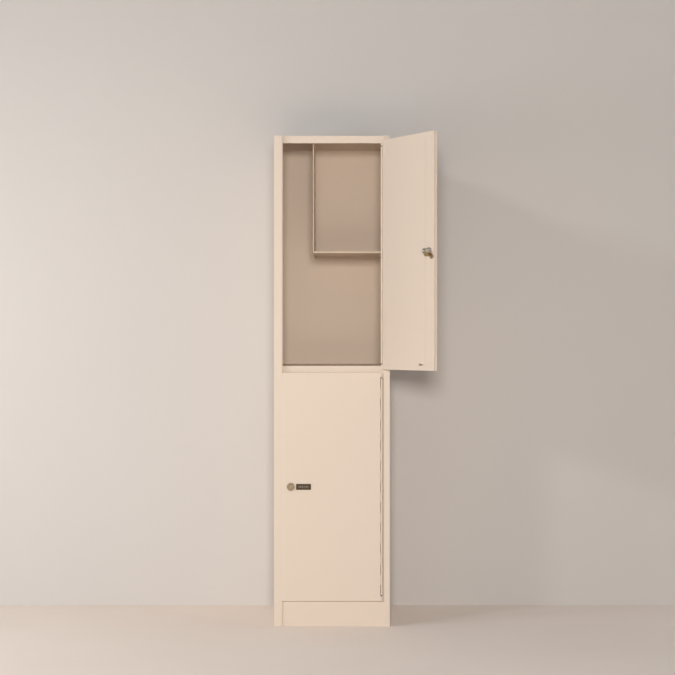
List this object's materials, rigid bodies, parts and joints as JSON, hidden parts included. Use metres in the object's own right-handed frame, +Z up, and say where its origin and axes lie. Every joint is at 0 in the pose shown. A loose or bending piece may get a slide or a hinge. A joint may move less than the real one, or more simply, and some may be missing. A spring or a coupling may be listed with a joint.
{
  "type": "two-tier steel locker",
  "caption": "Tall narrow steel locker, one column of stacked compartments behind hinged doors with cam locks, and an inner cubby in the upper compartment.",
  "frame": {"origin": "on the floor, at the middle of the width and on the back plane", "axes": "+X right as seen from the front, +Y to the back, +Z up"},
  "size_m": [0.5803, 0.819, 1.8],
  "materials": {
    "cream_coat": "fine-textured cream powder coat",
    "lock_brass": "satin champagne plating",
    "zinc_steel": "zinc-plated steel",
    "plate_brown": "dark brown satin enamel",
    "black_nylon": "black nylon"
  },
  "bodies": {
    "cabinet": {"left_side_panel": "cream_coat", "right_side_panel": "cream_coat", "left_rear_flange": "cream_coat", "right_rear_flange": "cream_coat", "left_post": "cream_coat", "right_post": "cream_coat", "back_panel": "cream_coat", "top_panel": "cream_coat", "header_rail": "cream_coat", "mid_rail": "cream_coat", "sill_rail": "cream_coat", "plinth": "cream_coat", "rear_base_rail": "cream_coat", "tier_shelf": "cream_coat", "bottom_panel": "cream_coat", "cubby_divider": "cream_coat", "cubby_shelf": "cream_coat", "upper_hinge_frame_leaf": "cream_coat", "lower_hinge_frame_leaf": "cream_coat"},
    "upper_door": {"upper_door_pan": "cream_coat", "upper_door_liner": "cream_coat", "upper_door_channel": "cream_coat", "upper_hinge_door_leaf": "cream_coat", "upper_hinge_pin": "zinc_steel", "upper_hinge_washers": "black_nylon", "upper_lock_housing": "lock_brass", "upper_lock_nut": "zinc_steel", "upper_number_plate": "plate_brown"},
    "upper_lock": {"upper_lock_plug": "lock_brass", "upper_lock_cam": "lock_brass", "upper_cam_screw": "zinc_steel"},
    "lower_door": {"lower_door_pan": "cream_coat", "lower_door_liner": "cream_coat", "lower_door_channel": "cream_coat", "lower_hinge_door_leaf": "cream_coat", "lower_hinge_pin": "zinc_steel", "lower_hinge_washers": "black_nylon", "lower_lock_housing": "lock_brass", "lower_lock_nut": "zinc_steel", "lower_number_plate": "plate_brown"},
    "lower_lock": {"lower_lock_plug": "lock_brass", "lower_lock_cam": "lock_brass", "lower_cam_screw": "zinc_steel"}
  },
  "joints": [
    {"name": "upper_door_hinge", "type": "hinge", "parent": "cabinet", "child": "upper_door", "pos_m": [0.1823, -0.4981, 1.362], "axis": [0, 0, 1], "range_deg": [-120, 10]},
    {"name": "lower_door_hinge", "type": "hinge", "parent": "cabinet", "child": "lower_door", "pos_m": [0.1823, -0.4981, 0.512], "axis": [0, 0, 1], "range_deg": [0, 130]},
    {"name": "upper_lock_turn", "type": "hinge", "parent": "upper_door", "child": "upper_lock", "pos_m": [0.34895, -0.78675, 1.362], "axis": [-0.866, -0.5, 0], "range_deg": [-45, 45]},
    {"name": "lower_lock_turn", "type": "hinge", "parent": "lower_door", "child": "lower_lock", "pos_m": [-0.151, -0.4981, 0.512], "axis": [0, 1, 0], "range_deg": [0, 90]}
  ]
}
